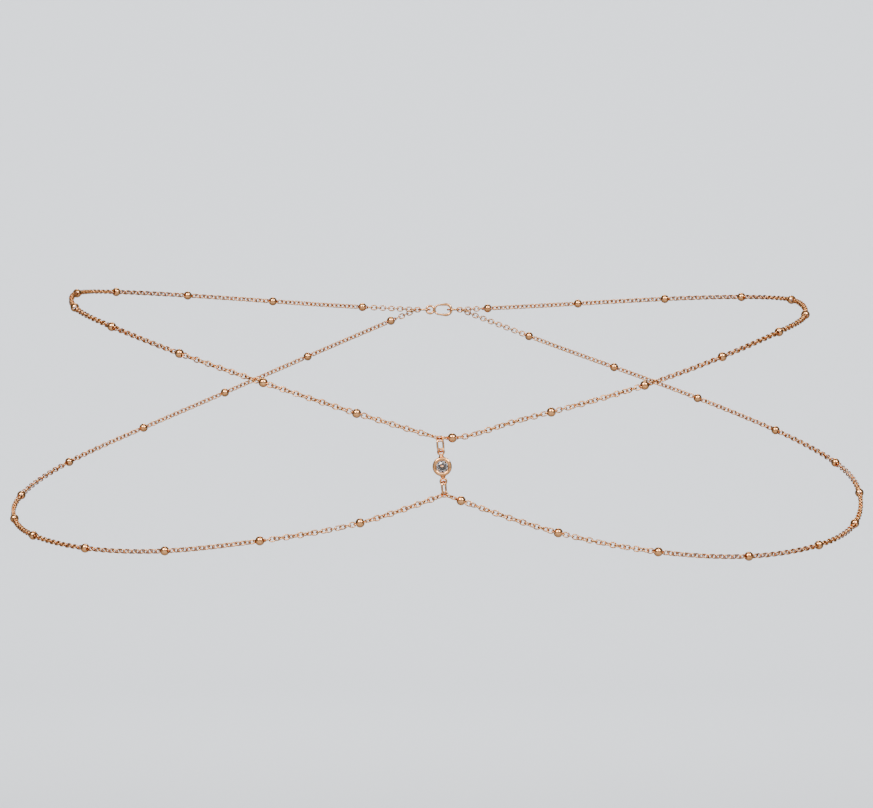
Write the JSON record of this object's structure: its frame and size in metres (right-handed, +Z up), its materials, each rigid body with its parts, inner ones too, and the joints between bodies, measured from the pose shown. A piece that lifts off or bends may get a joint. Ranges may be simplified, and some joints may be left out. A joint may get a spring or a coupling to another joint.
{
  "type": "waist chain",
  "caption": "Double waist chain in rose-gold metal with small round beads and a round stone drop between its two strands, in its worn form.",
  "frame": {"origin": "on the axis of the waist that the chain sits round, level with the link of the upper strand that the front drop hangs in", "axes": "+X to the right as seen from the front, +Y towards the closure at the wearer's back, +Z up"},
  "size_m": [0.33, 0.2052, 0.1033],
  "materials": {
    "rose_gold": "polished rose-gold plating",
    "crystal": "clear faceted"
  },
  "bodies": {
    "root": {"bottom_link": "rose_gold", "clasp": "rose_gold", "crystal": "crystal", "end_ring_left": "rose_gold", "end_ring_right": "rose_gold", "lower_bead_left_01": "rose_gold", "lower_bead_left_02": "rose_gold", "lower_bead_left_03": "rose_gold", "lower_bead_left_04": "rose_gold", "lower_bead_left_05": "rose_gold", "lower_bead_left_06": "rose_gold", "lower_bead_left_07": "rose_gold", "lower_bead_left_08": "rose_gold", "lower_bead_left_09": "rose_gold", "lower_bead_left_10": "rose_gold", "lower_bead_left_11": "rose_gold", "lower_bead_left_12": "rose_gold", "lower_bead_right_01": "rose_gold", "lower_bead_right_02": "rose_gold", "lower_bead_right_03": "rose_gold", "lower_bead_right_04": "rose_gold", "lower_bead_right_05": "rose_gold", "lower_bead_right_06": "rose_gold", "lower_bead_right_07": "rose_gold", "lower_bead_right_08": "rose_gold", "lower_bead_right_09": "rose_gold", "lower_bead_right_10": "rose_gold", "lower_bead_right_11": "rose_gold", "lower_bead_right_12": "rose_gold", "lower_chain_left": "rose_gold", "lower_chain_right": "rose_gold", "lower_junction_link": "rose_gold", "setting": "rose_gold", "top_link": "rose_gold", "upper_bead_left_01": "rose_gold", "upper_bead_left_02": "rose_gold", "upper_bead_left_03": "rose_gold", "upper_bead_left_04": "rose_gold", "upper_bead_left_05": "rose_gold", "upper_bead_left_06": "rose_gold", "upper_bead_left_07": "rose_gold", "upper_bead_left_08": "rose_gold", "upper_bead_left_09": "rose_gold", "upper_bead_left_10": "rose_gold", "upper_bead_right_01": "rose_gold", "upper_bead_right_02": "rose_gold", "upper_bead_right_03": "rose_gold", "upper_bead_right_04": "rose_gold", "upper_bead_right_05": "rose_gold", "upper_bead_right_06": "rose_gold", "upper_bead_right_07": "rose_gold", "upper_bead_right_08": "rose_gold", "upper_bead_right_09": "rose_gold", "upper_bead_right_10": "rose_gold", "upper_bead_right_11": "rose_gold", "upper_chain_left": "rose_gold", "upper_chain_right": "rose_gold", "upper_junction_link": "rose_gold"}
  },
  "joints": []
}
